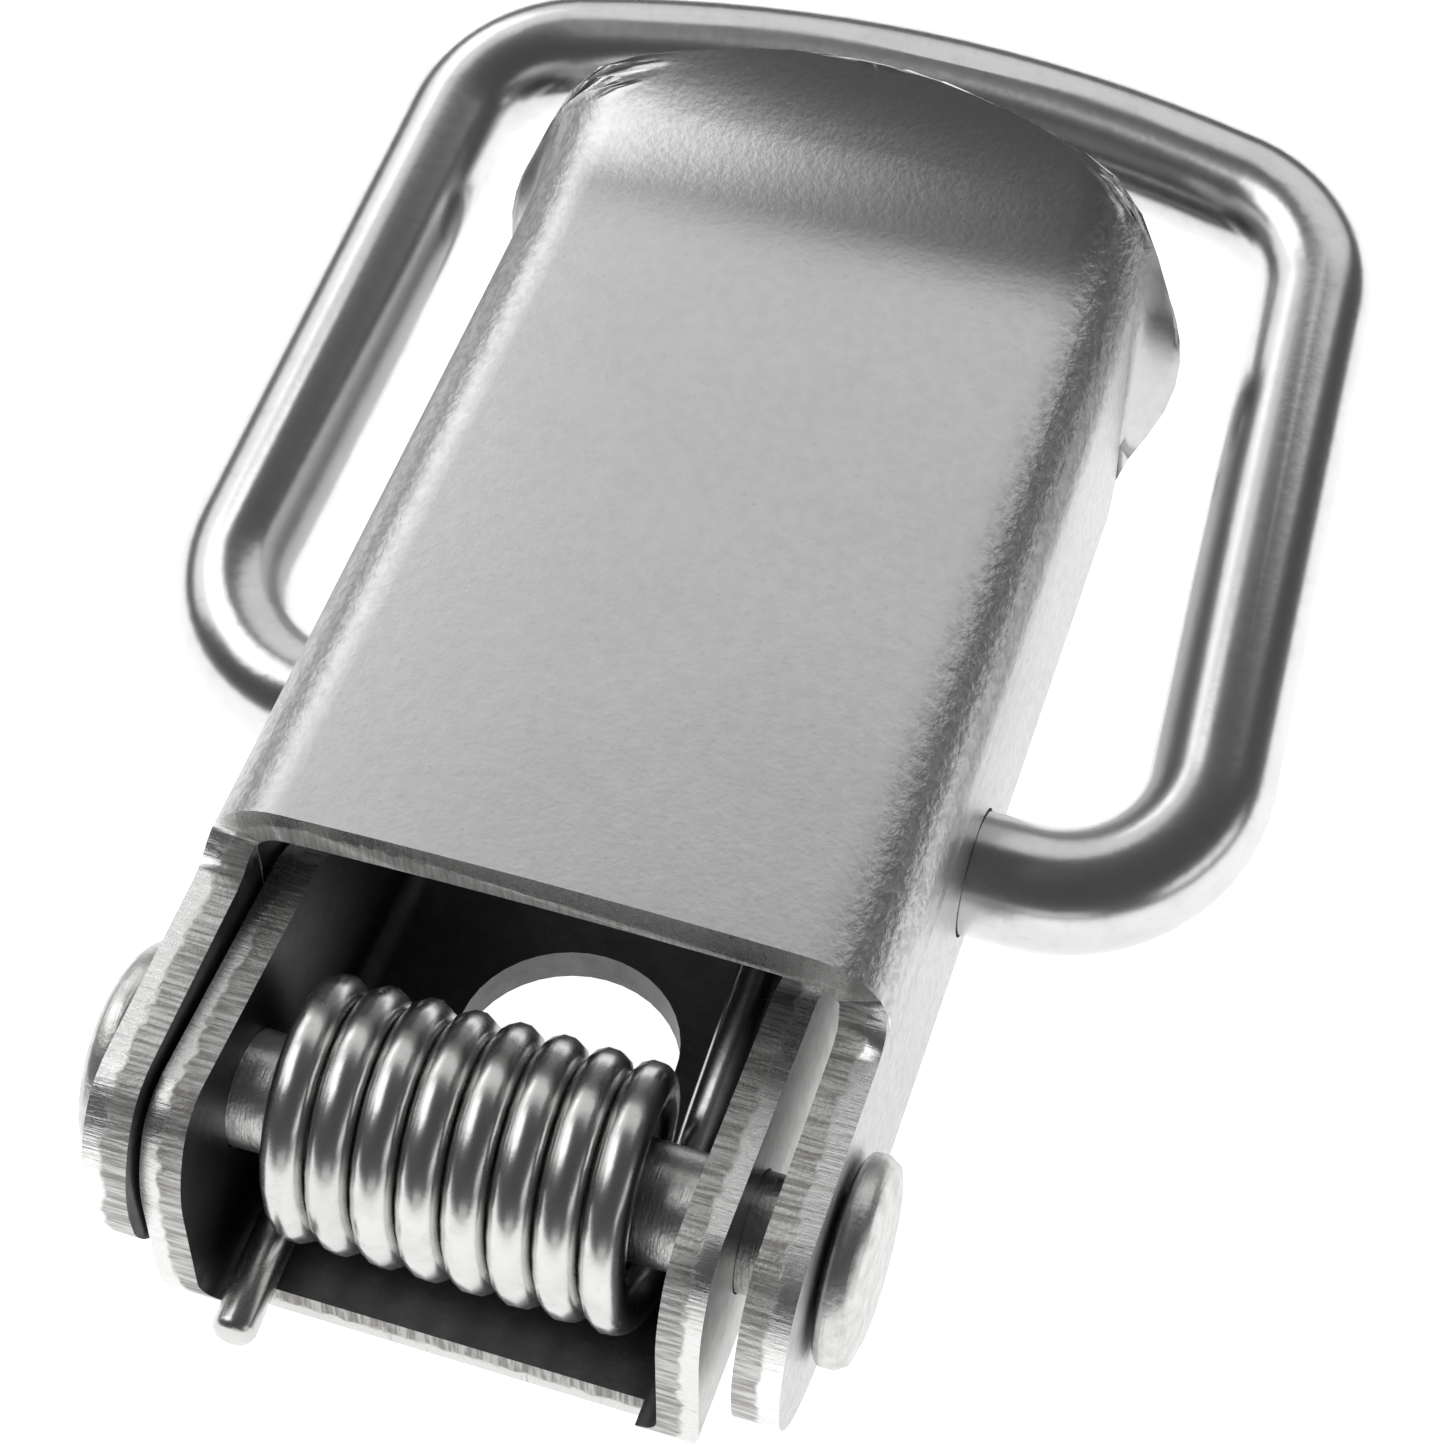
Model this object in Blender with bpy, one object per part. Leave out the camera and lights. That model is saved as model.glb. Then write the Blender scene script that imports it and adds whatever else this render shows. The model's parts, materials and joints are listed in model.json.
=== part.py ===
"""Spring toggle latch: pressed base, pressed lever, pivot rivet, torsion spring and wire bail.

Metres, +Z up. X runs along the pivot rivet, +Y from the pivot towards the finger lip, and the
underside of the base lies on Z = 0. The latch is built in its closed position, bail folded back.
"""
import math

import bmesh
import bpy
from mathutils import Matrix, Vector

MM = 0.001

# pivot rivet and what stands round it
SHANK_RADIUS = 1.55 * MM
SPRING_WIRE = 0.58 * MM           # wire radius
SPRING_PLAY = 0.72 * MM           # radial, coil round the shank
SPRING_COIL = SHANK_RADIUS + SPRING_WIRE + SPRING_PLAY  # coil centreline radius
BASE_SHEET = 1.1 * MM
COIL_OVER_PLATE = 0.17 * MM       # clear height under the coil
PIVOT_HEIGHT = BASE_SHEET + COIL_OVER_PLATE + SPRING_WIRE + SPRING_COIL  # above the mounting face
RUNNING_CLEARANCE = 0.05 * MM     # radial, rivet in the four ears
HEAD_RADIUS = 2.7 * MM            # factory head, +X end
UPSET_RADIUS = 3.0 * MM           # head formed on assembly, -X end
HEAD_THICKNESS = 1.0 * MM
HEAD_GAP = 0.1 * MM               # lever ear to the underside of each head
SIDE_FLOAT = 0.4 * MM             # the lever and rivet sit this far to +X of the base
PIECE_GAP = 0.1 * MM              # between pieces that touch

# lever pressing, measured from the rivet axis along and square to its top plate
LEVER_WIDTH = 18.0 * MM
LIP_END = 31.5 * MM               # tip of the finger lip
LEVER_SHEET = 1.2 * MM
LEVER_BEND = 2.2 * MM             # outside bend radius
LEVER_TILT = math.radians(4.9)    # lift of the cover towards the lip when closed
TOP_OVER_PIVOT = 5.9 * MM         # outside of the top plate over the rivet axis
COVER_OVER_COIL = 1.02 * MM       # coil to the front edge of the top plate
PLATE_FRONT = SPRING_COIL + SPRING_WIRE + COVER_OVER_COIL
WALL_DEPTH = 9.1 * MM             # side wall, top plate to lower edge
WALL_END = LIP_END - 4.2 * MM     # where the lower edge of the side walls starts to rise
FLARE_START = LIP_END - 3.6 * MM  # where the side bends begin to open
LIP_CORNER = LIP_END - 1.8 * MM   # widest point of the lip
LIP_START = LIP_END - 6.6 * MM    # where the lip begins to turn up
LIP_CURL = 2.6                    # how late the lip turns up between there and its tip
LIP_HALF_WIDTH = LEVER_WIDTH / 2.0 + 1.9 * MM  # half-width of the flat blank at the lip's corners
SIDE_OPENING = 32.0               # degrees the side bend opens by, towards the lip corner
LIP_OPENING = 30.0                # and beyond it
LIP_RISE = 2.9 * MM
LIP_DROOP = 0.45                  # share of the rise lost at the lip's corners
LEVER_EAR_RADIUS = 4.6 * MM       # lever ear round the rivet
LEVER_EAR_ROUND = 2.0 * MM        # from the ear's straight top into its round nose
LEVER_CROWN = 0.15 * MM

# bail
BAIL_WIRE = 1.72 * MM             # wire radius
BAIL_PIVOT = (12.45 * MM, -1.0 * MM)             # along and square to the lever's top plate
BAIL_HALF_NEAR = LEVER_WIDTH / 2.0 + 5.4 * MM    # leg centreline from the middle, pivot end
BAIL_HALF_FAR = LEVER_WIDTH / 2.0 + 4.0 * MM
BAIL_LIP_GAP = 1.1 * MM           # crossbar corners' centreline beyond the lip's tip, as the bail swings
BAIL_BOW = 1.9 * MM               # bow of the crossbar
BAIL_CHORD = 4.0 / 3.0            # slope of the crossbar's ends, in bows over its half-length
BAIL_TILT = math.radians(15.6)    # lift of the bail over the base plane
BAIL_FLOAT = 0.3 * MM             # sideways play taken up towards +X
BAIL_CORNER = 4.0 * MM            # centreline bend radius
BAIL_CLEARANCE = 0.08 * MM        # radial, wire in the lever wall
BAIL_UNDER_LEG = 0.4 * MM         # how far the wire's end reaches inward of the spring's rear leg

# base pressing
BASE_SIDE_PLAY = 0.55 * MM        # each side, inside the lever's walls
BASE_WIDTH = LEVER_WIDTH - 2.0 * (LEVER_SHEET + BASE_SIDE_PLAY)
BASE_BEND = 1.7 * MM              # outside bend radius
BASE_FRONT = 3.35 * MM            # plate edge ahead of the rivet axis
BASE_END = LIP_END - 6.5 * MM
BASE_EAR_RADIUS = 4.15 * MM
BASE_NOSE_CORNER = 1.5 * MM       # rounding at the foot of the nose
BASE_EAR_TOP = 3.0 * MM           # ear above the rivet axis
BASE_EAR_ROUND = 1.7 * MM         # from the ear's straight top into its round nose
BASE_EAR_FLAT = 5.0 * MM          # ears are level to here, then slope down
BASE_EAR_END = BAIL_PIVOT[0] - BAIL_WIRE - 0.93 * MM
BASE_FLANGE = 2.3 * MM            # height of the side bends behind the ears
BASE_HOLE_Y = 6.2 * MM
BASE_HOLE_RADIUS = 3.05 * MM
REAR_HOLE_Y = BASE_END - 6.5 * MM
REAR_HOLE_RADIUS = 1.7 * MM

# torsion spring
SPRING_PITCH = 1.19 * MM
SPRING_ROOM = 1.6 * MM            # sideways room left beside the coil, both ends together
SPRING_TURNS = int((BASE_WIDTH - 2.0 * (BASE_SHEET + SPRING_WIRE) - SPRING_ROOM) / SPRING_PITCH)
SPRING_MIDDLE = -0.1 * MM         # middle of the coil from the middle of the base
SPRING_REACH = 2.0 * MM           # front leg beyond the plate edge
SPRING_LEG_X = BASE_WIDTH / 2.0 - BASE_SHEET - SPRING_WIRE - 0.27 * MM  # rear leg over the bail's end
SPRING_LEG_PAST = 1.6 * MM        # and how far it runs on

ARC_STEPS = 40


def clear_scene():
    for thing in list(bpy.data.objects):
        bpy.data.objects.remove(thing, do_unlink=True)


def material(name, colour, roughness, metallic=1.0):
    made = bpy.data.materials.new(name)
    made.use_nodes = True
    shader = made.node_tree.nodes["Principled BSDF"]
    shader.inputs["Base Color"].default_value = (*colour, 1.0)
    shader.inputs["Roughness"].default_value = roughness
    shader.inputs["Metallic"].default_value = metallic
    return made


def add_object(name, mesh, finish, origin=Vector()):
    """Object with its origin moved to a joint axis, or a stated point, without moving the shape."""
    mesh.transform(Matrix.Translation(-origin))
    thing = bpy.data.objects.new(name, mesh)
    thing.location = origin
    bpy.context.scene.collection.objects.link(thing)
    if finish is not None:
        mesh.materials.append(finish)
    return thing


def smooth(thing, angle):
    mesh = thing.data
    mesh.shade_smooth()
    mesh.set_sharp_from_angle(angle=math.radians(angle))


def apply_modifiers(thing):
    graph = bpy.context.evaluated_depsgraph_get()
    made = bpy.data.meshes.new_from_object(thing.evaluated_get(graph))
    thing.modifiers.clear()
    old = thing.data
    thing.data = made
    bpy.data.meshes.remove(old)


def revolve_x(profile, steps, middle):
    """Closed solid turned about an X line through middle; profile is (x, radius) pairs, end to end."""
    shape = bmesh.new()
    rings = []
    for x, radius in profile:
        if radius == 0.0:
            rings.append([shape.verts.new(middle + Vector((x, 0.0, 0.0)))])
            continue
        ring = []
        for k in range(steps):
            turn = 2.0 * math.pi * k / steps
            spoke = Vector((x, radius * math.cos(turn), radius * math.sin(turn)))
            ring.append(shape.verts.new(middle + spoke))
        rings.append(ring)
    for one, two in zip(rings, rings[1:]):
        for k in range(steps):
            corners = [one[k % len(one)], one[(k + 1) % len(one)]]
            corners += [two[(k + 1) % len(two)], two[k % len(two)]]
            shape.faces.new(list(dict.fromkeys(corners)))
    bmesh.ops.recalc_face_normals(shape, faces=shape.faces)
    mesh = bpy.data.meshes.new("turned")
    shape.to_mesh(mesh)
    shape.free()
    return mesh


def sweep_wire(path, radius, sides):
    """Round wire along a list of points, with flat closed ends."""
    shape = bmesh.new()
    tangents = []
    for k in range(len(path)):
        ahead = path[min(k + 1, len(path) - 1)]
        behind = path[max(k - 1, 0)]
        tangents.append((ahead - behind).normalized())
    side = tangents[0].orthogonal().normalized()
    rings = []
    for point, tangent in zip(path, tangents):
        side = (side - tangent * side.dot(tangent)).normalized()
        across = tangent.cross(side)
        ring = []
        for k in range(sides):
            turn = 2.0 * math.pi * k / sides
            ring.append(shape.verts.new(point + radius * (side * math.cos(turn) + across * math.sin(turn))))
        rings.append(ring)
    for one, two in zip(rings, rings[1:]):
        for k in range(sides):
            shape.faces.new((one[k], one[(k + 1) % sides], two[(k + 1) % sides], two[k]))
    shape.faces.new(list(reversed(rings[0])))
    shape.faces.new(rings[-1])
    bmesh.ops.recalc_face_normals(shape, faces=shape.faces)
    mesh = bpy.data.meshes.new("wire")
    shape.to_mesh(mesh)
    shape.free()
    return mesh


def rounded_path(corners, radii, steps):
    """Points along straight runs joined by arcs of the given radii at the inner corners."""
    path = [corners[0]]
    for before, corner, after, radius in zip(corners, corners[1:], corners[2:], radii):
        back = (before - corner).normalized()
        on = (after - corner).normalized()
        half = back.angle(on) / 2.0
        centre = corner + (back + on).normalized() * (radius / math.sin(half))
        start = corner + back * (radius / math.tan(half)) - centre
        finish = corner + on * (radius / math.tan(half)) - centre
        sweep = start.angle(finish)
        for k in range(steps + 1):
            part = k / steps
            mix = start * math.sin((1.0 - part) * sweep) + finish * math.sin(part * sweep)
            path.append(centre + mix / math.sin(sweep))
    path.append(corners[-1])
    return path


def cylinder_x(name, x_from, x_to, middle, radius):
    mesh = revolve_x([(x_from, 0.0), (x_from, radius), (x_to, radius), (x_to, 0.0)], ARC_STEPS, middle)
    return as_cutter(name, mesh)


def as_cutter(name, mesh):
    cutter = add_object(name, mesh, None)
    cutter.hide_render = True
    cutter.display_type = "WIRE"
    return cutter


def cut(thing, cutters, operation="DIFFERENCE"):
    for cutter in cutters:
        step = thing.modifiers.new(cutter.name, "BOOLEAN")
        step.operation = operation
        step.solver = "EXACT"
        step.object = cutter
    bpy.context.view_layer.update()
    apply_modifiers(thing)
    for cutter in cutters:
        bpy.data.objects.remove(cutter, do_unlink=True)


def prism(name, outline, axis, low, high):
    """Straight-sided solid from a closed outline in the plane across the given axis."""
    shape = bmesh.new()
    ends = []
    for level in (low, high):
        ring = []
        for a, b in outline:
            place = {"X": (level, a, b), "Z": (a, b, level)}[axis]
            ring.append(shape.verts.new(place))
        ends.append(ring)
    count = len(outline)
    for k in range(count):
        shape.faces.new((ends[0][k], ends[0][(k + 1) % count], ends[1][(k + 1) % count], ends[1][k]))
    shape.faces.new(ends[0])
    shape.faces.new(ends[1])
    bmesh.ops.recalc_face_normals(shape, faces=shape.faces)
    mesh = bpy.data.meshes.new(name)
    shape.to_mesh(mesh)
    shape.free()
    return mesh


def arc(centre, radius, start, end, steps):
    """Points on an arc, angles in degrees from the first axis."""
    points = []
    for k in range(steps + 1):
        turn = math.radians(start + (end - start) * k / steps)
        points.append((centre[0] + radius * math.cos(turn), centre[1] + radius * math.sin(turn)))
    return points


def nose_corner(nose, top, rounding):
    """Where the rounding between a nose round the origin and a level top is centred, as (y, z)."""
    across = math.sqrt((nose - rounding) ** 2 - (top - rounding) ** 2)
    return -across, top - rounding


def ease(value, low, high):
    part = min(max((value - low) / (high - low), 0.0), 1.0)
    return part * part * (3.0 - 2.0 * part)


# -------------------------------------------------------------------------------- lever pressing

def lever_blank_half(s):
    """Half-width of the flat blank, from the middle of the top plate to its edge, at distance s."""
    flat = LEVER_WIDTH / 2.0 - LEVER_BEND
    wall = flat + LEVER_BEND * math.pi / 2.0 + WALL_DEPTH - LEVER_BEND
    if s <= WALL_END:
        return wall
    if s <= LIP_CORNER:
        part = (s - WALL_END) / (LIP_CORNER - WALL_END)
        return LIP_HALF_WIDTH + (wall - LIP_HALF_WIDTH) * (1.0 - part ** 1.4)
    reach = LIP_END - LIP_CORNER
    radius = (LIP_HALF_WIDTH * LIP_HALF_WIDTH + reach * reach) / (2.0 * reach)
    along = s - (LIP_END - radius)
    return math.sqrt(max(radius * radius - along * along, 0.0))


def fold(q, s):
    """Blank point (q across, s along) folded to the outside face of the pressing: (x, s, h)."""
    flat = LEVER_WIDTH / 2.0 - LEVER_BEND
    angle = 90.0 - SIDE_OPENING * ease(s, FLARE_START, LIP_CORNER)
    angle = math.radians(angle - LIP_OPENING * ease(s, LIP_CORNER, LIP_END))
    size = abs(q)
    bent = min(max(size - flat, 0.0) / LEVER_BEND, angle)
    past = size - flat - bent * LEVER_BEND if size > flat else 0.0
    x = min(size, flat) + LEVER_BEND * math.sin(bent) + past * math.cos(bent)
    h = TOP_OVER_PIVOT - LEVER_BEND * (1.0 - math.cos(bent)) - past * math.sin(bent)
    span = max(s - LIP_START, 0.0) / (LIP_END - LIP_START)
    h += LIP_RISE * span ** LIP_CURL * (1.0 - LIP_DROOP * (size / LIP_HALF_WIDTH) ** 2)
    crown = 1.0 - min(size / flat, 1.0) ** 2
    h += LEVER_CROWN * crown * (1.0 - span ** 2)
    return Vector((math.copysign(x, q), s, h))


def ear_span(s, fillet):
    """Lower and upper edge, measured down the blank, of the wall ahead of the top plate."""
    flat = LEVER_WIDTH / 2.0 - LEVER_BEND
    zero = flat + LEVER_BEND * math.pi / 2.0 - LEVER_BEND + TOP_OVER_PIVOT
    room = math.sqrt(max(LEVER_EAR_RADIUS ** 2 - min(s, 0.0) ** 2, 0.0))
    upper = TOP_OVER_PIVOT - LEVER_BEND
    centre = nose_corner(LEVER_EAR_RADIUS, upper, LEVER_EAR_ROUND)
    meets = centre[0] * LEVER_EAR_RADIUS / (LEVER_EAR_RADIUS - LEVER_EAR_ROUND)
    if s < meets:
        upper = room
    elif s < centre[0]:
        upper = centre[1] + math.sqrt(LEVER_EAR_ROUND ** 2 - (s - centre[0]) ** 2)
    elif s > PLATE_FRONT - fillet:
        upper += fillet - math.sqrt(fillet ** 2 - (s - PLATE_FRONT + fillet) ** 2)
    lower = (WALL_DEPTH - TOP_OVER_PIVOT) * room / LEVER_EAR_RADIUS
    return zero - upper, zero + lower


def build_lever(finish):
    flat = LEVER_WIDTH / 2.0 - LEVER_BEND
    bend = LEVER_BEND * math.pi / 2.0
    shape = bmesh.new()
    flat_steps, bend_steps, wall_steps = 5, 9, 4
    rows = [PLATE_FRONT + (LIP_START - PLATE_FRONT) * k / 6.0 for k in range(6)]
    rows += [LIP_START + (WALL_END - LIP_START) * k / 5.0 for k in range(5)]
    rows += [WALL_END + (LIP_CORNER - WALL_END) * math.sin(math.pi * k / 24.0) for k in range(12)]
    reach = LIP_END - LIP_CORNER
    radius = (LIP_HALF_WIDTH ** 2 + reach ** 2) / (2.0 * reach)
    widest = math.asin(LIP_HALF_WIDTH / radius)
    for k in range(10):
        turn = widest * (1.0 - k / 10.0)
        rows.append(LIP_END - radius * (1.0 - math.cos(turn)))
    grid = []
    for s in rows:
        edge = lever_blank_half(s)
        shrink = min(edge / (flat + bend + 0.02 * MM), 1.0)
        side = [flat * shrink * k / flat_steps for k in range(flat_steps + 1)]
        side += [(flat + bend * (k + 1) / bend_steps) * shrink for k in range(bend_steps)]
        start = side[-1]
        side += [start + (edge - start) * (k + 1) / wall_steps for k in range(wall_steps)]
        line = [-q for q in reversed(side[1:])] + side
        grid.append([shape.verts.new(fold(q, s)) for q in line])
    for one, two in zip(grid, grid[1:]):
        for k in range(len(one) - 1):
            shape.faces.new((one[k], one[k + 1], two[k + 1], two[k]))
    # the front edge of the plate runs down the bend and curves forward into the ear's top
    corner_steps = 3
    fillet = bend * corner_steps / bend_steps
    turns = [math.radians(18.0 * k) for k in range(1, 6)]
    ear_rows = [PLATE_FRONT - fillet * (1.0 - math.cos(turn)) for turn in turns]
    ear_rows += [(PLATE_FRONT - fillet) * (1.0 - k / 3.0) for k in range(1, 4)]
    ear_rows += [-LEVER_EAR_RADIUS * math.sin(math.radians(7.0 * k)) for k in range(1, 13)]
    columns = wall_steps + 1 + corner_steps
    for sign in (-1.0, 1.0):
        first = grid[0][:columns] if sign < 0.0 else list(reversed(grid[0][-columns:]))
        last = first
        for s in ear_rows:
            upper, lower = ear_span(s, fillet)
            line = []
            for k in range(columns):
                q = lower + (upper - lower) * k / (columns - 1)
                line.append(shape.verts.new(fold(sign * q, s)))
            for k in range(columns - 1):
                shape.faces.new((last[k], last[k + 1], line[k + 1], line[k]))
            last = line
    bmesh.ops.recalc_face_normals(shape, faces=shape.faces)
    top = max(shape.faces, key=lambda face: face.calc_center_median().z)
    if top.normal.z < 0.0:
        bmesh.ops.reverse_faces(shape, faces=shape.faces)
    shape.transform(Matrix.Rotation(LEVER_TILT, 4, "X"))
    shape.transform(Matrix.Translation((SIDE_FLOAT, 0.0, PIVOT_HEIGHT)))
    mesh = bpy.data.meshes.new("lever")
    shape.to_mesh(mesh)
    shape.free()
    lever = add_object("lever", mesh, finish)
    sheet = lever.modifiers.new("sheet", "SOLIDIFY")
    sheet.thickness = LEVER_SHEET
    sheet.offset = -1.0
    sheet.use_rim = True
    bpy.context.view_layer.update()
    apply_modifiers(lever)
    axis = Vector((SIDE_FLOAT, 0.0, PIVOT_HEIGHT))
    bores = [cylinder_x("rivet_bore", -LEVER_WIDTH, LEVER_WIDTH, axis, SHANK_RADIUS + RUNNING_CLEARANCE)]
    bail_bore = BAIL_WIRE + BAIL_CLEARANCE
    bores.append(cylinder_x("bail_bore", -LEVER_WIDTH, LEVER_WIDTH, bail_pivot(), bail_bore))
    cut(lever, bores)
    lever.data.transform(Matrix.Translation(-axis))
    lever.location = axis
    smooth(lever, 32.0)
    return lever


def bail_pivot():
    s, h = BAIL_PIVOT
    turned = Matrix.Rotation(LEVER_TILT, 3, "X") @ Vector((0.0, s, h))
    return turned + Vector((SIDE_FLOAT, 0.0, PIVOT_HEIGHT))


# --------------------------------------------------------------------------------- base pressing

def build_base(finish):
    half = BASE_WIDTH / 2.0
    inside = BASE_BEND - BASE_SHEET
    top = PIVOT_HEIGHT + BASE_EAR_TOP
    section = [(-half, top)]
    section += arc((-half + BASE_BEND, BASE_BEND), BASE_BEND, 180.0, 270.0, 10)
    section += arc((half - BASE_BEND, BASE_BEND), BASE_BEND, 270.0, 360.0, 10)
    section += [(half, top), (half - BASE_SHEET, top)]
    section += arc((half - BASE_BEND, BASE_BEND), inside, 360.0, 270.0, 8)
    section += arc((-half + BASE_BEND, BASE_BEND), inside, 270.0, 180.0, 8)
    section += [(-half + BASE_SHEET, top)]
    shape = bmesh.new()
    ends = []
    for y in (-2.0 * BASE_EAR_RADIUS, BASE_END):
        ends.append([shape.verts.new((x, y, z)) for x, z in section])
    count = len(section)
    for k in range(count):
        shape.faces.new((ends[0][k], ends[0][(k + 1) % count], ends[1][(k + 1) % count], ends[1][k]))
    shape.faces.new(ends[0])
    shape.faces.new(ends[1])
    bmesh.ops.recalc_face_normals(shape, faces=shape.faces)
    mesh = bpy.data.meshes.new("base")
    shape.to_mesh(mesh)
    shape.free()
    base = add_object("base", mesh, finish)

    # side view of the ears: rounded nose about the rivet, straight top, sloped rear
    nose = BASE_EAR_RADIUS
    y, z = nose_corner(nose, BASE_EAR_TOP, BASE_EAR_ROUND)
    lean = math.degrees(math.atan2(z, y))
    drop = BASE_NOSE_CORNER
    outline = arc((0.0, PIVOT_HEIGHT), nose, 180.0, lean, 10)
    outline += arc((y, PIVOT_HEIGHT + z), BASE_EAR_ROUND, lean, 90.0, 8)[1:]
    outline += [(BASE_EAR_FLAT, top), (BASE_EAR_FLAT + MM, top - 0.4 * MM)]
    outline += [(BASE_EAR_END, BASE_FLANGE + 0.5 * MM), (BASE_EAR_END + 0.8 * MM, BASE_FLANGE)]
    outline += [(BASE_END, BASE_FLANGE), (BASE_END, -MM)]
    outline += [(-nose + drop, -MM), (-nose + drop, 0.0)]
    outline += arc((-nose + drop, drop), drop, 270.0, 180.0, 8)[1:]
    cut(base, [as_cutter("ear_outline", prism("ear_outline", outline, "X", -2.0 * half, 2.0 * half))],
        "INTERSECT")

    # plate cut back between the ears, and the two holes through it
    gap = half - BASE_BEND
    slot = [(-gap, -3.0 * nose), (gap, -3.0 * nose), (gap, -BASE_FRONT), (-gap, -BASE_FRONT)]
    cutters = [as_cutter("plate_front", prism("plate_front", slot, "Z", -MM, PIVOT_HEIGHT))]
    holes = [("big_hole", BASE_HOLE_Y, BASE_HOLE_RADIUS), ("rear_hole", REAR_HOLE_Y, REAR_HOLE_RADIUS)]
    for name, y, radius in holes:
        ring = arc((0.0, y), radius, 0.0, 360.0, ARC_STEPS)[:-1]
        cutters.append(as_cutter(name, prism(name, ring, "Z", -MM, 2.0 * MM)))
    axis = Vector((0.0, 0.0, PIVOT_HEIGHT))
    rivet_bore = SHANK_RADIUS + RUNNING_CLEARANCE
    cutters.append(cylinder_x("rivet_bore", -2.0 * half, 2.0 * half, axis, rivet_bore))
    cut(base, cutters)
    smooth(base, 32.0)
    return base


# ---------------------------------------------------------------------------------- round pieces

def build_rivet(finish):
    """Shank with a factory head at +X and an upset head at -X."""
    outer = LEVER_WIDTH / 2.0 + HEAD_GAP
    far = outer + HEAD_THICKNESS
    soft = 0.3 * MM
    profile = [(-far, 0.0), (-far, UPSET_RADIUS - 1.6 * soft)]
    profile += [(-far + 0.4 * soft, UPSET_RADIUS - 0.7 * soft), (-far + 1.1 * soft, UPSET_RADIUS)]
    profile += [(-outer - 0.5 * soft, UPSET_RADIUS)]
    profile += [(-outer, UPSET_RADIUS - soft), (-outer, SHANK_RADIUS), (outer, SHANK_RADIUS)]
    profile += [(outer, HEAD_RADIUS - soft), (outer + 0.5 * soft, HEAD_RADIUS)]
    profile += [(far - 1.4 * soft, HEAD_RADIUS), (far - 0.5 * soft, HEAD_RADIUS - 0.6 * soft)]
    profile += [(far - 0.1 * soft, HEAD_RADIUS - 2.0 * soft), (far, HEAD_RADIUS - 4.0 * soft), (far, 0.0)]
    middle = Vector((SIDE_FLOAT, 0.0, PIVOT_HEIGHT))
    mesh = revolve_x(profile, 56, middle)
    rivet = add_object("pivot_rivet", mesh, finish, middle)
    smooth(rivet, 32.0)
    return rivet


def build_spring(finish):
    """Close-wound coil; one leg runs forward over the base plate, the other back under the cover."""
    steps = 24
    middle = SPRING_MIDDLE
    left = middle - SPRING_TURNS * SPRING_PITCH / 2.0
    points = []
    leg_height = PIVOT_HEIGHT - SPRING_COIL
    tip = -(BASE_FRONT + SPRING_REACH)
    drop = Vector((left + 0.15 * MM, tip, BASE_SHEET + SPRING_WIRE + 0.05 * MM))
    points.append(drop)
    points.append(Vector((left + 0.05 * MM, tip * 0.6, 0.55 * leg_height + 0.45 * drop.z)))
    points.append(Vector((left, tip * 0.25, leg_height - 0.02 * MM)))
    # the rear leg leaves the coil on the line that passes just over the bail's end
    to_bail = bail_pivot() - Vector((SIDE_FLOAT, 0.0, PIVOT_HEIGHT))
    offset = SPRING_COIL + BAIL_WIRE + SPRING_WIRE + PIECE_GAP
    leave = math.atan2(to_bail.z, to_bail.y) + math.asin(offset / to_bail.length)
    run = math.sqrt(to_bail.length ** 2 - offset ** 2)
    turns = 2.0 * math.pi * SPRING_TURNS + leave
    count = SPRING_TURNS * steps + 1
    for k in range(count + 1):
        turn = turns * k / count
        x = left + SPRING_PITCH * turn / (2.0 * math.pi)
        y = SPRING_COIL * math.sin(turn)
        points.append(Vector((x, y, PIVOT_HEIGHT - SPRING_COIL * math.cos(turn))))
    along = Vector((0.0, math.cos(leave), math.sin(leave)))
    crossing = points[-1] + along * run
    crossing.x = SPRING_LEG_X
    points.append(points[-1].lerp(crossing, 0.3))
    points.append(crossing + along * SPRING_LEG_PAST)
    mesh = sweep_wire(points, SPRING_WIRE, 12)
    spring = add_object("torsion_spring", mesh, finish, Vector((0.0, 0.0, PIVOT_HEIGHT)))
    smooth(spring, 40.0)
    return spring


def build_bail(finish):
    near, far = BAIL_HALF_NEAR, BAIL_HALF_FAR
    inner = SPRING_LEG_X - BAIL_UNDER_LEG - BAIL_FLOAT - SIDE_FLOAT
    along, square = BAIL_PIVOT
    length = math.hypot(LIP_END - along, TOP_OVER_PIVOT + LIP_RISE - square) + BAIL_LIP_GAP
    slope = Vector((far, BAIL_CHORD * BAIL_BOW, 0.0)).normalized()
    corners = [Vector((-inner, 0.0, 0.0)), Vector((-near, 0.0, 0.0)), Vector((-far, length, 0.0))]
    corners.append(corners[-1] + slope * far)
    left = rounded_path(corners, [BAIL_CORNER, BAIL_CORNER], 14)[:-1]
    right = [Vector((-p.x, p.y, 0.0)) for p in reversed(left)]
    start = left[-1]
    side = (left[-1] - left[-2]).normalized()
    middle = []
    rise = side.y / max(side.x, 1e-6)
    for k in range(1, 16):
        part = k / 16.0 * 2.0 - 1.0
        x = part * abs(start.x)
        y = start.y + 0.5 * rise * abs(start.x) * (1.0 - part * part)
        middle.append(Vector((x, y, 0.0)))
    path = left + middle + right
    float_over = Matrix.Translation((BAIL_FLOAT, 0.0, 0.0))
    place = float_over @ Matrix.Translation(bail_pivot()) @ Matrix.Rotation(BAIL_TILT, 4, "X")
    mesh = sweep_wire([place @ p for p in path], BAIL_WIRE, 28)
    bail = add_object("bail", mesh, finish, bail_pivot())
    smooth(bail, 40.0)
    return bail


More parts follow.
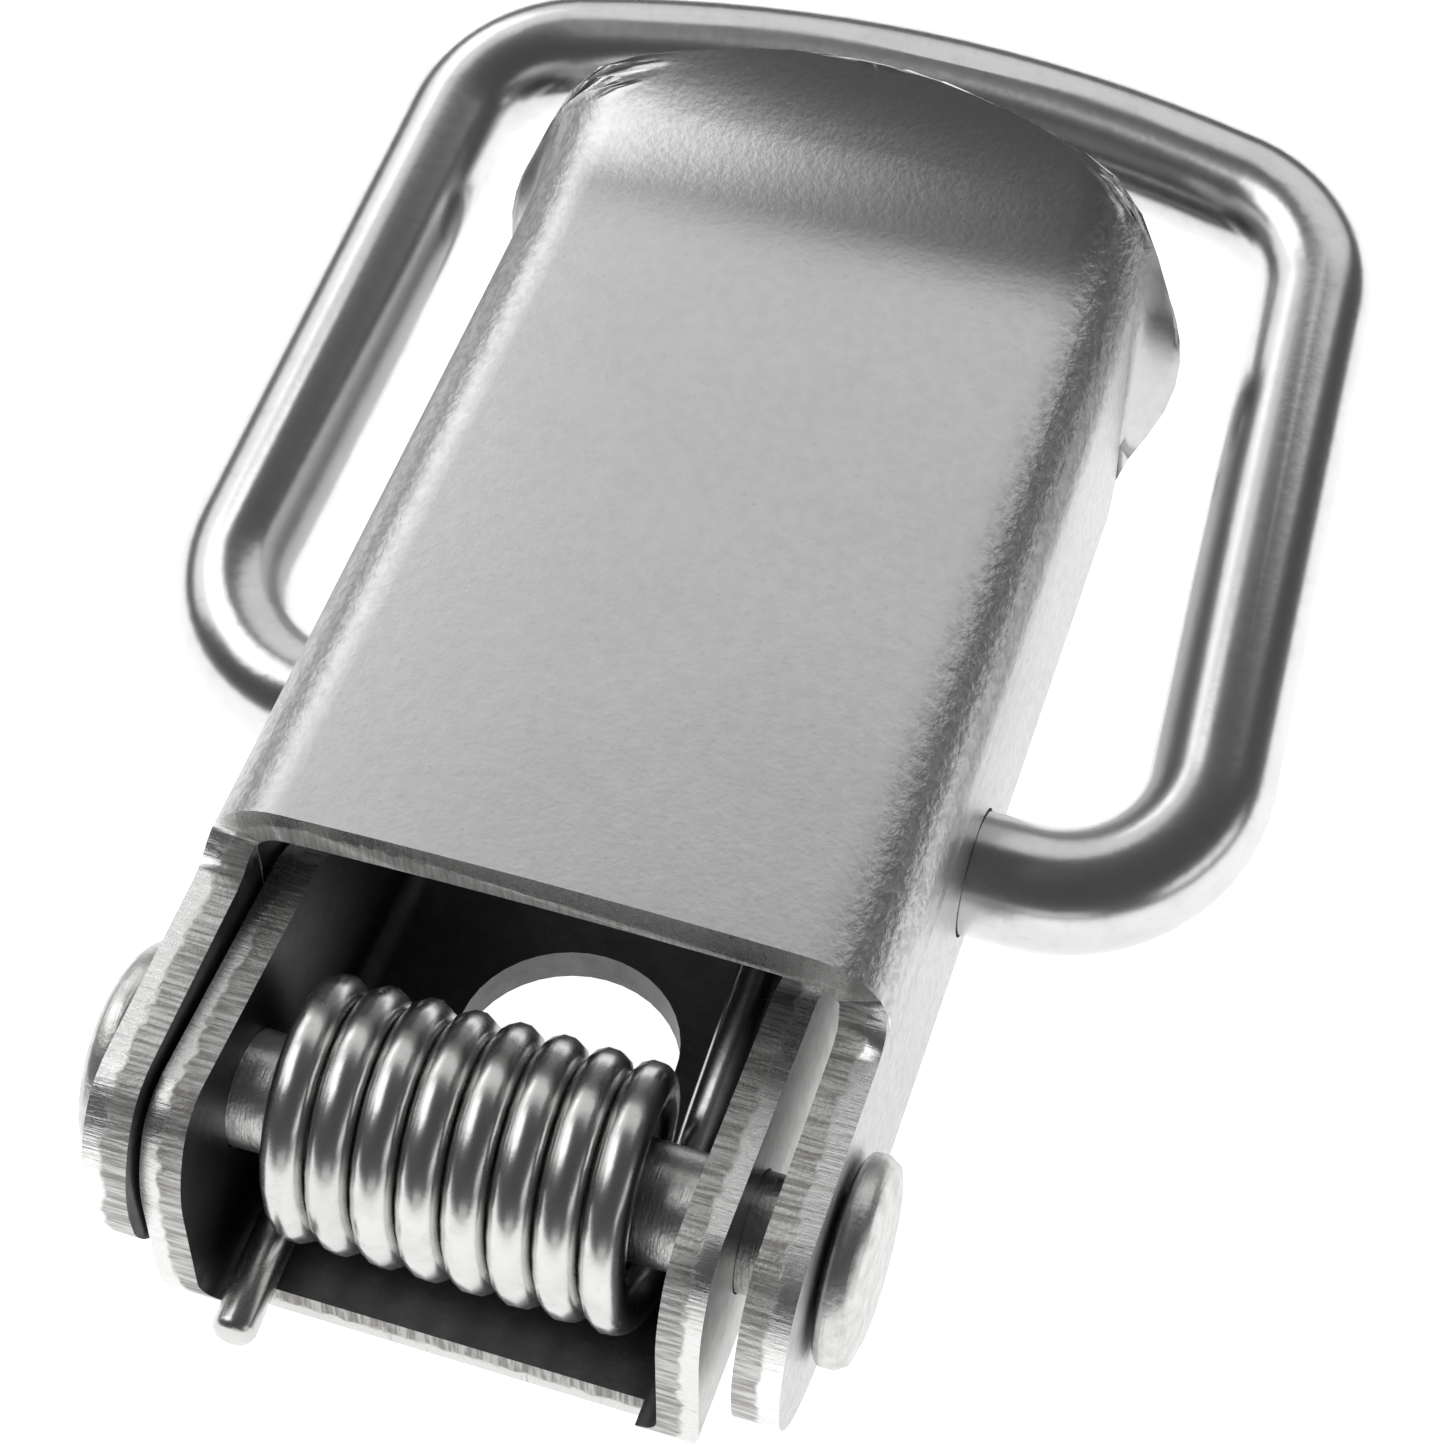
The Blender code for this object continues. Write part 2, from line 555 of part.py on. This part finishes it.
clear_scene()
build_base(material("plated_base_steel", (0.60, 0.60, 0.59), 0.34))
build_lever(material("satin_lever_steel", (0.66, 0.66, 0.65), 0.38))
build_rivet(material("rivet_steel", (0.62, 0.62, 0.61), 0.30))
build_spring(material("spring_wire_steel", (0.64, 0.64, 0.63), 0.20))
build_bail(material("bail_wire_steel", (0.64, 0.64, 0.63), 0.18))
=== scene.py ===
"""Looks of a small spring toggle latch: two pressings, a rivet, a torsion spring and a wire bail."""
import json
import math

import bmesh
import bpy
from mathutils import Matrix, Vector


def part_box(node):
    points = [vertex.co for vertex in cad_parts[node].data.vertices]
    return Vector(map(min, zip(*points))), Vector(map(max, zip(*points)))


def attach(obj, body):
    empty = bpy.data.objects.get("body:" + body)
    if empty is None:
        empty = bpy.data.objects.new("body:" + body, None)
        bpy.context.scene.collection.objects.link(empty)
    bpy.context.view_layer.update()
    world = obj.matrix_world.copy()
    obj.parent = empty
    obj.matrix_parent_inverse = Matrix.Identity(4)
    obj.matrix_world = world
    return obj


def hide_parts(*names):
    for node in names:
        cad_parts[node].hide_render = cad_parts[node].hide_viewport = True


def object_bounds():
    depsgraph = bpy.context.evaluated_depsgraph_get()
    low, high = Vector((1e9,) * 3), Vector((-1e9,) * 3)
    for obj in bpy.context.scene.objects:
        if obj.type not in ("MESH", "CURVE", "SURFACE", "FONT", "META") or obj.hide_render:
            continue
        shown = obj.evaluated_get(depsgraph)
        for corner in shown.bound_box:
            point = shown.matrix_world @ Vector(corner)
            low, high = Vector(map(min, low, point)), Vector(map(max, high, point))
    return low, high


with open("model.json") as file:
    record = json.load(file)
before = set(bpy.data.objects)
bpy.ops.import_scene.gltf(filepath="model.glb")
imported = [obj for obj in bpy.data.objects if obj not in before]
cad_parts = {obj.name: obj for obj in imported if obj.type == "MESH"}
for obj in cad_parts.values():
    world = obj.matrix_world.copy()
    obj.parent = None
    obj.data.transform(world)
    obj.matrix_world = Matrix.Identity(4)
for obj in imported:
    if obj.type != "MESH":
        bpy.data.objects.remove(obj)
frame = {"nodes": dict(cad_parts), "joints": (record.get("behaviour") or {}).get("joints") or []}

cad_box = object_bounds()
MM = 0.001

# ---------------------------------------------------------------------------------------- studio
# White paper under a broad rear softbox, with two softboxes up on the left and low strips at the
# right and in front. The dark gaps between them draw the soft dark bands along the bright wire.

AIM = Vector((1.129, 15.999, 4.0)) * MM
CAMERA_AZIMUTH = math.radians(18.197)
CAMERA_ELEVATION = math.radians(49.224)
CAMERA_ROLL = math.radians(0.336)
CAMERA_DISTANCE = 93.451 * MM
SENSOR = 36.0
LENS = 82.86

back = Vector((math.sin(CAMERA_AZIMUTH) * math.cos(CAMERA_ELEVATION),
               -math.cos(CAMERA_AZIMUTH) * math.cos(CAMERA_ELEVATION), math.sin(CAMERA_ELEVATION)))
level = Vector((math.cos(CAMERA_AZIMUTH), math.sin(CAMERA_AZIMUTH), 0.0))
upright = back.cross(level)
right = level * math.cos(CAMERA_ROLL) + upright * math.sin(CAMERA_ROLL)
upright = upright * math.cos(CAMERA_ROLL) - level * math.sin(CAMERA_ROLL)
camera_data = bpy.data.cameras.new("camera")
camera_data.lens = LENS
camera_data.sensor_width = SENSOR
camera_data.clip_start = 0.005
camera = bpy.data.objects.new("camera", camera_data)
camera.matrix_world = Matrix((right, upright, back)).transposed().to_4x4()
camera.location = AIM + back * CAMERA_DISTANCE
bpy.context.scene.collection.objects.link(camera)
bpy.context.scene.camera = camera
bpy.context.scene.view_settings.view_transform = "Standard"


def softbox(name, azimuth, elevation, distance, width, height, brightness):
    """Rectangular light aimed at the latch: degrees and metres, azimuth 0 in front of it, at -Y."""
    data = bpy.data.lights.new(name, "AREA")
    data.shape = "RECTANGLE"
    data.size = width
    data.size_y = height
    data.energy = brightness * math.pi * width * height
    light = bpy.data.objects.new(name, data)
    turn, lift = math.radians(azimuth), math.radians(elevation)
    away = Vector((math.sin(turn) * math.cos(lift), -math.cos(turn) * math.cos(lift), math.sin(lift)))
    light.rotation_mode = "QUATERNION"
    light.rotation_quaternion = away.to_track_quat("Z", "Y")
    light.location = AIM + away * distance
    bpy.context.scene.collection.objects.link(light)


softbox("rear_softbox", 185.0, 46.0, 0.40, 0.70, 0.34, 0.80)
softbox("overhead_softbox", -80.0, 57.0, 0.40, 0.24, 0.20, 2.0)
softbox("left_softbox", -110.0, 34.0, 0.40, 0.44, 0.20, 1.1)
softbox("right_softbox", 75.0, 14.0, 0.40, 0.30, 0.08, 1.2)
softbox("front_softbox", 10.0, 8.0, 0.50, 0.30, 0.06, 1.0)

ROOM_LIGHT = 0.08
WHITE = (1.0, 1.0, 1.0, 1.0)
world = bpy.data.worlds.new("studio")
bpy.context.scene.world = world
world.use_nodes = True
room = world.node_tree.nodes["Background"]
room.inputs["Color"].default_value = WHITE
room.inputs["Strength"].default_value = ROOM_LIGHT

FLOOR_HALF = 0.6
FLOOR_GAP = 0.02 * MM
PAPER_TONE = (0.80, 0.80, 0.80, 1.0)
PAPER_GLOW = 1.0
paper = bpy.data.materials.new("white_paper")
paper.use_nodes = True
paper_shader = paper.node_tree.nodes["Principled BSDF"]
paper_shader.inputs["Base Color"].default_value = PAPER_TONE
paper_shader.inputs["Roughness"].default_value = 0.9
paper_shader.inputs["Emission Color"].default_value = WHITE
paper_shader.inputs["Emission Strength"].default_value = PAPER_GLOW
floor_mesh = bpy.data.meshes.new("floor")
floor_level = cad_box[0].z - FLOOR_GAP
corners = [(x * FLOOR_HALF, y * FLOOR_HALF, floor_level) for x, y in ((-1, -1), (1, -1), (1, 1), (-1, 1))]
floor_mesh.from_pydata(corners, [], [(0, 1, 2, 3)])
floor_mesh.materials.append(paper)
floor = bpy.data.objects.new("floor", floor_mesh)
bpy.context.scene.collection.objects.link(floor)

# ------------------------------------------------------------------------------------------ base
# A U-shaped bracket blanked and folded from 1.1 mm steel, nickel plated and tumbled. Its skins
# are satin, its cut edges keep a bright sheared band and a torn one below it. Its inner skin and the
# hole's walls are painted near-black: painted shade for the closed, unlit inside of the latch.


class Shade:
    """One output of a shader node, written into sums and products like a number."""

    def __init__(self, finish, socket):
        self.finish = finish
        self.socket = socket

    def maths(self, operation, *values):
        sockets = dict(enumerate(values))
        return self.finish.node("ShaderNodeMath", {"operation": operation}, sockets)

    def __add__(self, other):
        return self.maths("ADD", self, other)

    def __radd__(self, other):
        return self.maths("ADD", other, self)

    def __sub__(self, other):
        return self.maths("SUBTRACT", self, other)

    def __rsub__(self, other):
        return self.maths("SUBTRACT", other, self)

    def __mul__(self, other):
        return self.maths("MULTIPLY", self, other)

    def __rmul__(self, other):
        return self.maths("MULTIPLY", other, self)

    def most(self, other):
        return self.maths("MAXIMUM", self, other)

    def size(self):
        return self.maths("ABSOLUTE", self)

    def ramp(self, low, high):
        """0 below low, 1 above high, smooth between them; falls instead if low is the larger."""
        if low > high:
            return 1.0 - self.ramp(high, low)
        settings = {"interpolation_type": "SMOOTHSTEP"}
        sockets = {"Value": self, "From Min": low, "From Max": high}
        return self.finish.node("ShaderNodeMapRange", settings, sockets)


class Finish:
    """A metal's material: plain values first, then the nodes that vary it over the surface."""

    def __init__(self, name, colour, roughness):
        self.material = bpy.data.materials.new(name)
        self.material.use_nodes = True
        self.tree = self.material.node_tree
        self.shader = self.tree.nodes["Principled BSDF"]
        self.shader.inputs["Base Color"].default_value = (*colour, 1.0)
        self.shader.inputs["Roughness"].default_value = roughness
        self.shader.inputs["Metallic"].default_value = 1.0
        self.place = self.node("ShaderNodeTexCoord", output="Object")

    def node(self, kind, settings=None, sockets=None, output=0):
        made = self.tree.nodes.new(kind)
        for key, value in (settings or {}).items():
            setattr(made, key, value)
        for key, value in (sockets or {}).items():
            if isinstance(value, Shade):
                self.tree.links.new(value.socket, made.inputs[key])
            else:
                made.inputs[key].default_value = value
        return Shade(self, made.outputs[output])

    def feed(self, name, value):
        self.tree.links.new(value.socket, self.shader.inputs[name])

    def stretched(self, x, y, z):
        """Place on the surface in units of x, y and z millimetres."""
        scale = (1.0 / (x * MM), 1.0 / (y * MM), 1.0 / (z * MM))
        return self.node("ShaderNodeVectorMath", {"operation": "MULTIPLY"}, {0: self.place, 1: scale})

    def noise(self, place, detail=3.0, roughness=0.55):
        """Cloudy value about 0.5, one blob to a unit of place."""
        sockets = {"Vector": place, "Scale": 1.0, "Detail": detail, "Roughness": roughness}
        return self.node("ShaderNodeTexNoise", {}, sockets)

    def coordinates(self):
        """Place on the surface as separate x, y and z, in metres."""
        split = self.tree.nodes.new("ShaderNodeSeparateXYZ")
        self.tree.links.new(self.place.socket, split.inputs[0])
        return [Shade(self, socket) for socket in split.outputs]

    def mixed(self, factor, first, second):
        """Colour between two colours."""
        made = self.tree.nodes.new("ShaderNodeMix")
        made.data_type = "RGBA"
        for index, value in ((0, factor), (6, first), (7, second)):
            if isinstance(value, Shade):
                self.tree.links.new(value.socket, made.inputs[index])
            else:
                made.inputs[index].default_value = (*value, 1.0) if index else value
        return Shade(self, made.outputs[2])

    def relief(self, height, depth):
        """Bumps of the given depth, in millimetres, on the shader's normal."""
        bump = self.node("ShaderNodeBump", {}, {"Height": height, "Distance": depth * MM}, output="Normal")
        self.feed("Normal", bump)


def cut_edge(name, bright, dark, across):
    """Sheared edge: a burnished band under the outer skin, a torn one below, streaked across the sheet.

    across is the sheet's thickness direction as the three streak sizes in millimetres."""
    finish = Finish(name, bright, 0.30)
    depth = finish.node("ShaderNodeAttribute", {"attribute_name": "depth"}, output="Fac")
    streak = finish.noise(finish.stretched(*across), 4.0, 0.65)
    ragged = finish.noise(finish.stretched(0.55, 0.55, 0.55), 2.0)
    torn = (depth + 0.5 * (ragged - 0.5) + 0.25 * (streak - 0.5)).ramp(0.36, 0.50)
    pits = finish.noise(finish.stretched(0.12, 0.12, 0.12), 3.0, 0.7)
    tone = (torn * (streak.ramp(0.62, 0.38) * 0.75 + 0.25)).most(streak.ramp(0.40, 0.28) * 0.45)
    finish.feed("Base Color", finish.mixed(tone, bright, dark))
    finish.feed("Roughness", 0.22 + 0.26 * torn + 0.12 * pits)
    finish.relief(0.5 * streak + torn * (0.5 * pits - 0.25), 0.05)
    return finish.material


def skin(name, colour, dull, roughness):
    """Tumbled, plated sheet: cloudy tone, fine grain and a scatter of small bright and dull specks."""
    finish = Finish(name, colour, roughness)
    cloud = finish.noise(finish.stretched(3.0, 3.0, 3.0), 3.0)
    mottle = finish.noise(finish.stretched(0.45, 0.45, 0.45), 4.0, 0.6)
    speck = finish.noise(finish.stretched(0.16, 0.16, 0.16), 2.0, 0.5)
    tone = 0.45 * cloud.ramp(0.3, 0.7) + 0.35 * mottle.ramp(0.3, 0.7) + 0.35 * speck.ramp(0.64, 0.76)
    finish.feed("Base Color", finish.mixed(tone, colour, dull))
    finish.feed("Roughness", roughness - 0.06 + 0.08 * mottle + 0.10 * speck)
    finish.relief(0.5 * speck + 0.5 * mottle, 0.012)
    return finish.material


def patches(faces, angle):
    """Groups of faces that meet smoothly, largest first."""
    left = set(faces)
    groups = []
    while left:
        group = {left.pop()}
        front = set(group)
        while front:
            near = set()
            for face in front:
                for edge in face.edges:
                    if len(edge.link_faces) == 2 and edge.calc_face_angle() < angle:
                        near.update(other for other in edge.link_faces if other in left)
            left -= near
            group |= near
            front = near
        groups.append(group)
    groups.sort(key=lambda group: -sum(face.calc_area() for face in group))
    return groups


WELD = 0.002 * MM
SHEET_FLAT = math.radians(0.25)
SHEET_CREASE = math.radians(38.0)
OUTER_ROUND = 0.26 * MM
INNER_ROUND = 0.07 * MM
LIP_ROUND = 0.09 * MM


def pressing(node, materials, is_rim, is_side, in_hole, outer_below, lip_from):
    """The node's solid with rounded sheared edges: skin, cut edges facing along and across, inner skin.
    The inner skin and the faces in_hole picks out share the fourth material, which is painted shade.

    Beyond lip_from, along Y, the outer edges are only lightly broken."""
    shape = bmesh.new()
    shape.from_mesh(frame["nodes"][node].data)
    bmesh.ops.remove_doubles(shape, verts=shape.verts, dist=WELD)
    bmesh.ops.dissolve_limit(shape, angle_limit=SHEET_FLAT, verts=shape.verts, edges=shape.edges)
    depth = shape.verts.layers.float.new("depth")
    weight = shape.edges.layers.float.new("bevel_weight_edge")
    groups = patches([face for face in shape.faces if not is_rim(face)], SHEET_CREASE)
    first, second = groups[0], groups[1]
    outer, inner = (second, first) if outer_below(first, second) else (first, second)
    for face in shape.faces:
        face.smooth = True
        middle = face.calc_center_median()
        face.material_index = 3 if in_hole(middle) else 2 if is_side(middle) else 1
    for face in outer:
        face.material_index = 0
    for face in inner:
        face.material_index = 3
        for vert in face.verts:
            vert[depth] = 1.0
    for edge in shape.edges:
        if len(edge.link_faces) == 2 and edge.calc_face_angle() > SHEET_CREASE:
            width = OUTER_ROUND if any(face in outer for face in edge.link_faces) else INNER_ROUND
            if edge.verts[0].co.y > lip_from:
                width = min(width, LIP_ROUND)
            edge[weight] = width / OUTER_ROUND
    mesh = bpy.data.meshes.new(node + "_pressing")
    shape.to_mesh(mesh)
    shape.free()
    for material in materials:
        mesh.materials.append(material)
    thing = bpy.data.objects.new(node + "_pressing", mesh)
    bpy.context.scene.collection.objects.link(thing)
    rounding = thing.modifiers.new("edges", "BEVEL")
    rounding.limit_method = "WEIGHT"
    rounding.width = OUTER_ROUND
    rounding.segments = 3
    rounding.use_clamp_overlap = True
    rounding.miter_outer = "MITER_ARC"
    even = thing.modifiers.new("even", "WEIGHTED_NORMAL")
    even.keep_sharp = False
    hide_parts(node)
    return thing


BASE_FOLD = 1.7 * MM
base_low, base_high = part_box("base")
SQUARE = 0.02
base_skin = skin("base_plating", (0.60, 0.60, 0.59), (0.40, 0.40, 0.39), 0.36)
base_edges = [cut_edge("base_cut_along", (0.62, 0.62, 0.61), (0.26, 0.25, 0.24), (0.13, 0.4, 1.6)),
              cut_edge("base_cut_side", (0.70, 0.70, 0.69), (0.30, 0.29, 0.28), (1.6, 0.12, 0.12))]


def lowest(group):
    return min(vert.co.z for face in group for vert in face.verts)


def base_rim(face):
    """The section runs straight along Y, so what faces along Y, or up from an ear's top, is cut."""
    ear_top = face.normal.z > 1.0 - SQUARE and face.calc_center_median().z > BASE_FOLD
    return abs(face.normal.y) > SQUARE or ear_top


# Painted shade: a near-black copy of the plating for the inside skins and the hole's walls. The real
# inside is the same plated steel as the outside and is dark only because it sits in shade.
shade_painted_inside = skin("inside_painted_shade", (0.17, 0.17, 0.17), (0.11, 0.11, 0.11), 0.42)
base = pressing("base", [base_skin] + base_edges + [shade_painted_inside], base_rim,
                lambda p: p.x < base_low.x + BASE_FOLD or p.x > base_high.x - BASE_FOLD,
                lambda p: 0.0 < p.y < base_high.y - BASE_FOLD and abs(p.x) < base_high.x - BASE_FOLD,
                lambda first, second: lowest(second) < lowest(first), base_high.y + MM)
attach(base, "base")

# ----------------------------------------------------------------------------------------- lever
# The cover: 1.2 mm steel blanked, folded over both sides and dished up at the finger lip. The
# sheet is stretched to orange peel along its two side bends.

LEVER_FOLD = 2.2 * MM
LIP_LENGTH = 6.6 * MM
LEVER_HALF = 9.0 * MM
BEND_STARTS = (LEVER_HALF - 2.1 * MM, LEVER_HALF - 1.1 * MM)
BEND_ENDS = (LEVER_HALF + 0.2 * MM, LEVER_HALF - 0.15 * MM)
CUT_TURNS = LEVER_HALF - LEVER_FOLD + 0.6 * MM
lip_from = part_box("lever")[1].y - LIP_LENGTH
lever_middle = frame["joints"][0]["pos_m"][0]


def highest(group):
    return max(vert.co.z for face in group for vert in face.verts)


def lever_skin():
    """Satin plating that grows coarser and darker in the two side bends."""
    colour, dull = (0.60, 0.60, 0.605), (0.45, 0.45, 0.455)
    finish = Finish("lever_satin", colour, 0.30)
    x = finish.coordinates()[0]
    cloud = finish.noise(finish.stretched(4.0, 4.0, 4.0), 3.0)
    mottle = finish.noise(finish.stretched(0.40, 0.40, 0.40), 4.0, 0.6)
    speck = finish.noise(finish.stretched(0.15, 0.15, 0.15), 2.0, 0.5)
    side = (x - lever_middle).size()
    bend = side.ramp(*BEND_STARTS) * side.ramp(*BEND_ENDS)
    peel = finish.noise(finish.stretched(0.22, 0.30, 0.22), 3.0, 0.6)
    rough_bend = bend * peel.ramp(0.40, 0.62)
    tone = (0.12 * cloud.ramp(0.3, 0.7) + 0.22 * mottle.ramp(0.3, 0.7)
            + 0.40 * speck.ramp(0.64, 0.76) + 0.9 * rough_bend)
    finish.feed("Base Color", finish.mixed(tone, colour, dull))
    finish.feed("Roughness", 0.25 + 0.06 * mottle + 0.06 * speck + 0.08 * bend)
    finish.relief(0.35 * speck + 0.45 * mottle + 3.2 * (bend * peel), 0.012)
    return finish.material


# The lever's cut edges are much lighter than the base's. This is partly burnished sheared steel and partly
# painted light, standing in for the light the front edge catches.
lever_edges = [cut_edge("lever_cut_along", (0.84, 0.84, 0.83), (0.56, 0.55, 0.54), (0.14, 0.4, 2.0)),
               cut_edge("lever_cut_side", (0.80, 0.80, 0.79), (0.34, 0.33, 0.32), (2.0, 0.12, 0.12))]
# The lever's inside takes the same near-black painted-shade material as the base's.
lever = pressing("lever", [lever_skin()] + lever_edges + [shade_painted_inside], lambda face: False,
                 lambda p: abs(p.x - lever_middle) > CUT_TURNS,
                 lambda p: False,
                 lambda first, second: highest(second) > highest(first), lip_from)
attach(lever, "lever")

# ----------------------------------------------------------------------------------- pivot rivet
# A plain steel pin through all four ears, with a turned head at +X. Its other end is upset over the
# lever's ear with a punch, and both faces stay duller where they were struck.

ROUND_FLAT = math.radians(0.5)


def smoothed(node, name, material, crease, rounding):
    """The node's solid welded and shaded smooth, its sharp corners rounded."""
    shape = bmesh.new()
    shape.from_mesh(frame["nodes"][node].data)
    bmesh.ops.remove_doubles(shape, verts=shape.verts, dist=WELD)
    bmesh.ops.dissolve_limit(shape, angle_limit=ROUND_FLAT, verts=shape.verts, edges=shape.edges)
    for face in shape.faces:
        face.smooth = True
    mesh = bpy.data.meshes.new(name)
    shape.to_mesh(mesh)
    shape.free()
    mesh.materials.append(material)
    thing = bpy.data.objects.new(name, mesh)
    bpy.context.scene.collection.objects.link(thing)
    soft = thing.modifiers.new("corners", "BEVEL")
    soft.limit_method = "ANGLE"
    soft.angle_limit = crease
    soft.width = rounding
    soft.segments = 3
    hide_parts(node)
    return thing


def rivet_steel():
    """Bright steel with turning rings round X and blotches left by the punch."""
    colour, dull = (0.68, 0.68, 0.67), (0.46, 0.46, 0.45)
    finish = Finish("rivet_steel", colour, 0.34)
    mottle = finish.noise(finish.stretched(0.5, 0.5, 0.5), 4.0, 0.65)
    turned = finish.noise(finish.stretched(0.07, 1.2, 1.2), 2.0)
    tone = 0.6 * mottle.ramp(0.35, 0.7) + 0.3 * turned.ramp(0.55, 0.75)
    finish.feed("Base Color", finish.mixed(tone, colour, dull))
    finish.feed("Roughness", 0.24 + 0.20 * mottle + 0.06 * turned)
    finish.relief(mottle + 0.3 * turned, 0.03)
    return finish.material


rivet = smoothed("pivot_rivet", "rivet", rivet_steel(), math.radians(50.0), 0.12 * MM)
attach(rivet, "base")

# -------------------------------------------------------------------------------- torsion spring
# Eight close turns of bright drawn spring wire wound round the rivet. The front leg rests on the
# base plate and the rear one presses on the bail's end. The tips are cropped and tumbled round.

WIRE_CREASE = math.radians(60.0)


def bright_wire(name, colour, dull, roughness, wear):
    """Smooth drawn wire with a light haze and cloudy worn places."""
    finish = Finish(name, colour, roughness)
    cloud = finish.noise(finish.stretched(1.6, 1.6, 1.6), 3.0)
    haze = finish.noise(finish.stretched(0.35, 0.35, 0.35), 3.0, 0.6)
    tone = wear * (0.5 * cloud.ramp(0.4, 0.75) + 0.5 * haze.ramp(0.5, 0.8))
    finish.feed("Base Color", finish.mixed(tone, colour, dull))
    finish.feed("Roughness", roughness - 0.03 + 0.05 * cloud + 0.06 * haze)
    finish.relief(haze, 0.004)
    return finish.material


spring_wire = bright_wire("spring_wire", (0.66, 0.66, 0.65), (0.42, 0.42, 0.41), 0.24, 0.6)
spring = smoothed("torsion_spring", "spring", spring_wire, WIRE_CREASE, 0.30 * MM)
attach(spring, "base")

# ------------------------------------------------------------------------------------------ bail
# One length of 3.4 mm bright plated wire bent into a loop. Its two ends are turned in and snapped
# into the holes in the lever's side walls, where they pivot.

bail_wire = bright_wire("bail_wire", (0.68, 0.68, 0.68), (0.50, 0.50, 0.50), 0.22, 0.5)
bail = smoothed("bail", "bail_loop", bail_wire, WIRE_CREASE, 0.25 * MM)
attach(bail, "bail")
